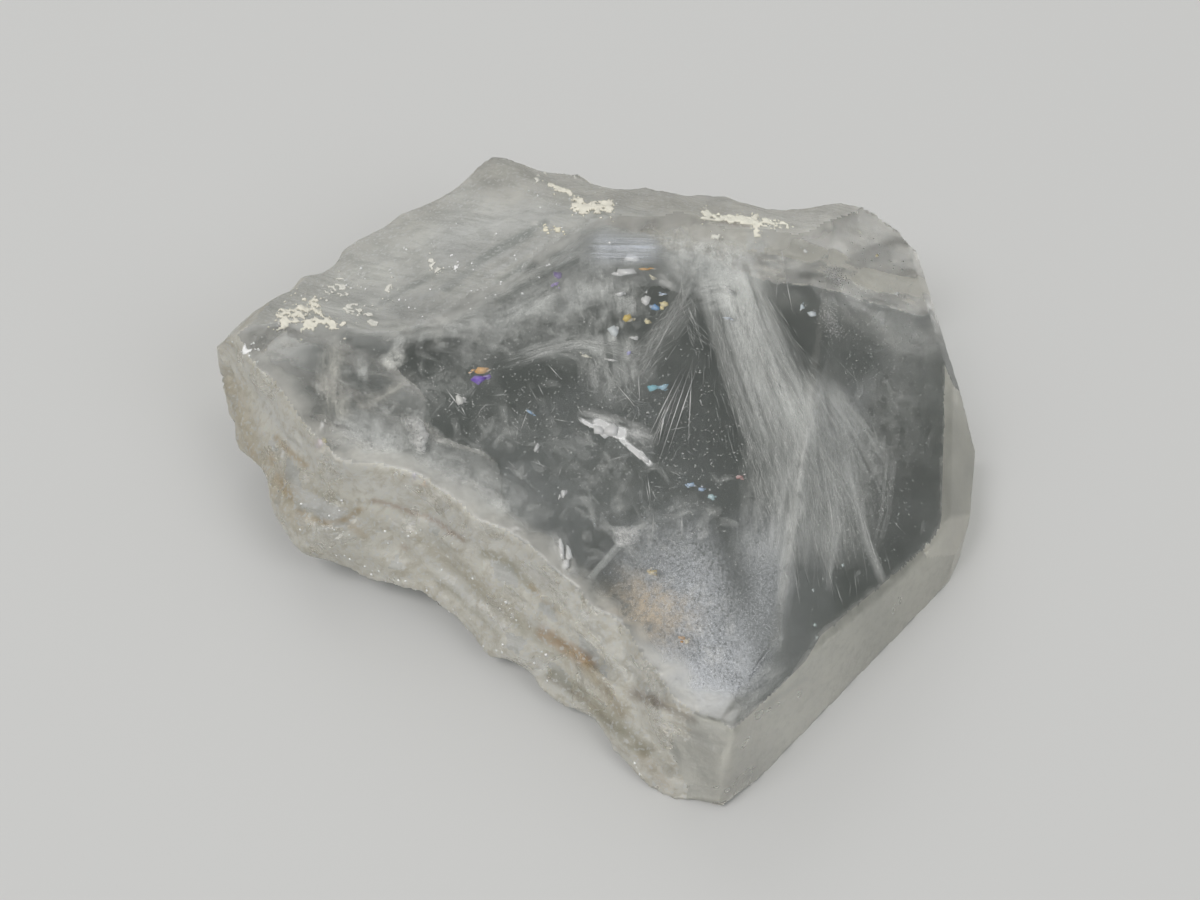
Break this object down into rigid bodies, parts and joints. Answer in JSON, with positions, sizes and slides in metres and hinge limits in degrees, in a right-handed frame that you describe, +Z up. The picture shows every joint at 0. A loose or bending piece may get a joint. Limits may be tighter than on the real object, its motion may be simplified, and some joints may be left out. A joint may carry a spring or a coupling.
{
  "type": "goshenite crystal",
  "caption": "Loose piece of clear colourless beryl with flat growth faces on top and at one side, stepped broken faces elsewhere, and a flat underside to rest on.",
  "frame": {"origin": "on the plane the crystal rests on, below the middle of its outline seen from above", "axes": "+Z up from the resting face, +X along the longest side of the outline towards the steep bevel, +Y away from the stepped broken side and the front tip"},
  "size_m": [0.0386, 0.0362, 0.0091],
  "materials": {
    "beryl": "clear growth faces, frosted broken faces"
  },
  "bodies": {
    "root": {"crystal": "beryl"}
  },
  "joints": []
}
